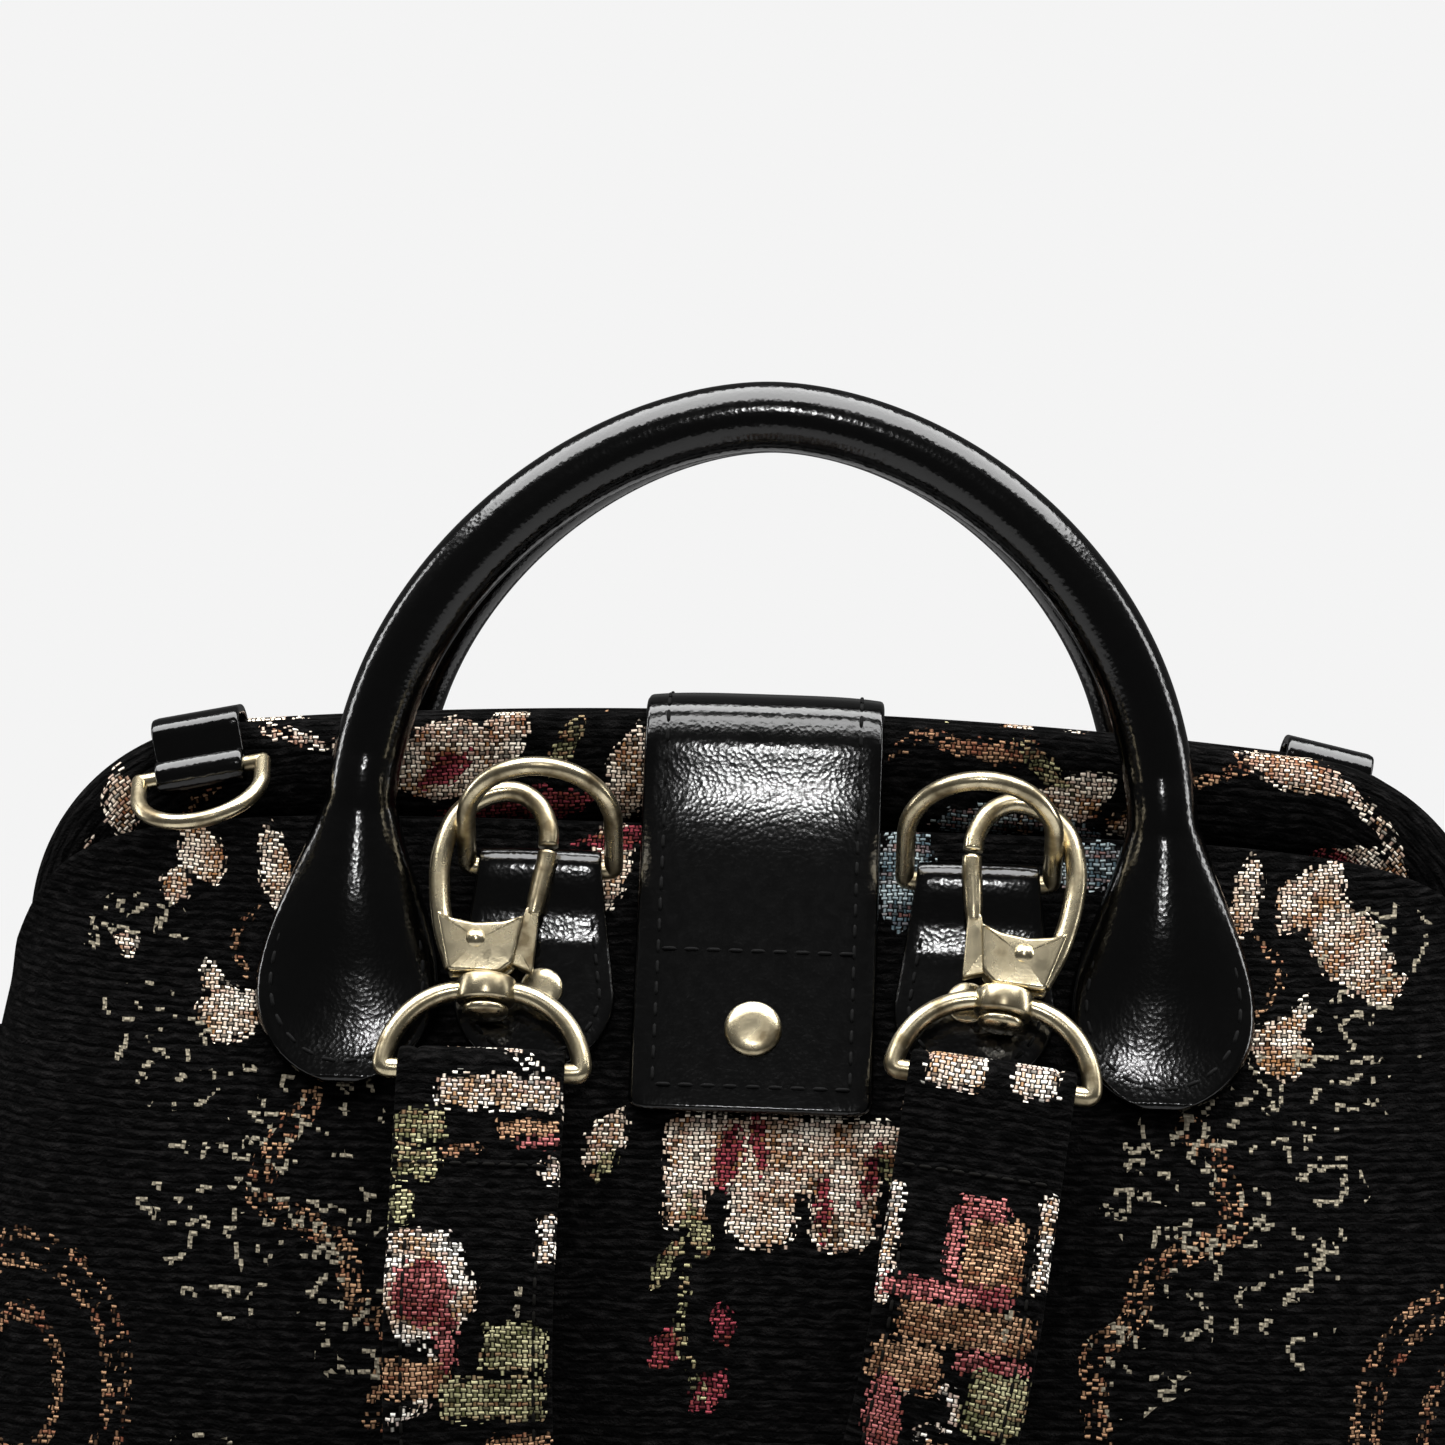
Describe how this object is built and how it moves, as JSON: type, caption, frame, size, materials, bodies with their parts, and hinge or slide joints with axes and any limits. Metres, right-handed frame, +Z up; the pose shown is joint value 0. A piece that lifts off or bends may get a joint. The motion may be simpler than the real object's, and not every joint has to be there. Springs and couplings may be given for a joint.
{
  "type": "tapestry backpack",
  "caption": "Tapestry backpack with a hinged doctor-bag mouth, rolled leather handles, a snapped closing strap and shoulder straps clipped to brass rings.",
  "frame": {"origin": "on the floor under the middle of the bag's base", "axes": "+Z up, -Y towards the side with the shoulder straps, +X to the right as seen from that side"},
  "size_m": [0.326, 0.3226, 0.337],
  "materials": {
    "tapestry": "woven chenille tapestry",
    "strap_tapestry": "woven tapestry",
    "leather": "glossy, fine grain",
    "brass": "antique, tarnished in the recesses",
    "steel": "plain strip",
    "board": "plain"
  },
  "bodies": {
    "bag": {"base_panel": "tapestry", "base_board": "board", "rear_panel": "tapestry", "front_panel": "tapestry", "gusset_left": "tapestry", "gusset_right": "tapestry", "rear_sleeve": "tapestry", "rear_frame": "steel", "hinge_pin_left": "steel", "hinge_pin_right": "steel", "rear_handle": "leather", "closing_strap_rear": "leather", "flap_rivet": "brass", "snap_stud": "brass", "ring_tab_left": "leather", "ring_tab_right": "leather", "tab_rivet_left": "brass", "tab_rivet_right": "brass", "shoulder_strap_left": "strap_tapestry", "shoulder_strap_right": "strap_tapestry", "side_tab_left": "leather"},
    "front_mouth": {"front_sleeve": "tapestry", "front_frame": "steel", "front_handle": "leather", "side_tab_right": "leather"},
    "flap_front": {"closing_strap_front": "leather", "snap_cap": "brass"},
    "left_clasp": {"strap_ring_left": "brass", "hook_left": "brass", "gate_pin_left": "brass"},
    "left_gate": {"gate_left": "brass"},
    "left_loop": {"swivel_loop_left": "brass", "strap_end_left": "strap_tapestry"},
    "left_side_ring": {"side_ring_left": "brass"},
    "right_clasp": {"strap_ring_right": "brass", "hook_right": "brass", "gate_pin_right": "brass"},
    "right_gate": {"gate_right": "brass"},
    "right_loop": {"swivel_loop_right": "brass", "strap_end_right": "strap_tapestry"},
    "right_side_ring": {"side_ring_right": "brass"}
  },
  "joints": [
    {"name": "mouth_open", "type": "hinge", "parent": "bag", "child": "front_mouth", "pos_m": [0, 0, 0.198], "axis": [-1, 0, 0], "range_deg": [0, 50], "deforming": ["front_panel", "closing_strap_front"]},
    {"name": "flap_lift", "type": "hinge", "parent": "bag", "child": "flap_front", "pos_m": [0, 0.00115, 0.273], "axis": [1, 0, 0], "range_deg": [0, 140], "deforming": ["closing_strap_front"]},
    {"name": "left_ring_swing", "type": "hinge", "parent": "bag", "child": "left_clasp", "pos_m": [-0.0435, -0.02541, 0.23877], "axis": [-1, 0, 0], "range_deg": [0, 24], "deforming": ["shoulder_strap_left"]},
    {"name": "left_gate_open", "type": "hinge", "parent": "left_clasp", "child": "left_gate", "pos_m": [-0.0548, -0.03921, 0.22483], "axis": [0, -0.9092, 0.4163], "range_deg": [0, 20], "stiffness_Nm_per_rad": 0.02, "springref_deg": -11.46},
    {"name": "left_loop_turn", "type": "hinge", "parent": "left_clasp", "child": "left_loop", "pos_m": [-0.0523, -0.04212, 0.21846], "axis": [0, 0.4163, 0.9092], "range_deg": [-6, 6], "deforming": ["shoulder_strap_left"]},
    {"name": "left_side_ring_swing", "type": "hinge", "parent": "bag", "child": "left_side_ring", "pos_m": [-0.11284, -0.01726, 0.25528], "axis": [0.9783, 0, 0.2071], "range_deg": [-60, 30]},
    {"name": "right_ring_swing", "type": "hinge", "parent": "bag", "child": "right_clasp", "pos_m": [0.0435, -0.02541, 0.23877], "axis": [-1, 0, 0], "range_deg": [0, 24], "deforming": ["shoulder_strap_right"]},
    {"name": "right_gate_open", "type": "hinge", "parent": "right_clasp", "child": "right_gate", "pos_m": [0.05259, -0.03895, 0.22539], "axis": [0, 0.9092, -0.4163], "range_deg": [0, 20], "stiffness_Nm_per_rad": 0.02, "springref_deg": -11.46},
    {"name": "right_loop_turn", "type": "hinge", "parent": "right_clasp", "child": "right_loop", "pos_m": [0.04926, -0.04172, 0.21935], "axis": [0.1219, 0.4132, 0.9025], "range_deg": [-6, 6], "deforming": ["shoulder_strap_right"]},
    {"name": "right_side_ring_swing", "type": "hinge", "parent": "front_mouth", "child": "right_side_ring", "pos_m": [0.11284, 0.01726, 0.25528], "axis": [-0.9783, 0, 0.2071], "range_deg": [-60, 30]}
  ],
  "couplings": [
    {"joint": "flap_lift", "follows": "mouth_open", "ratio": 2.8}
  ]
}
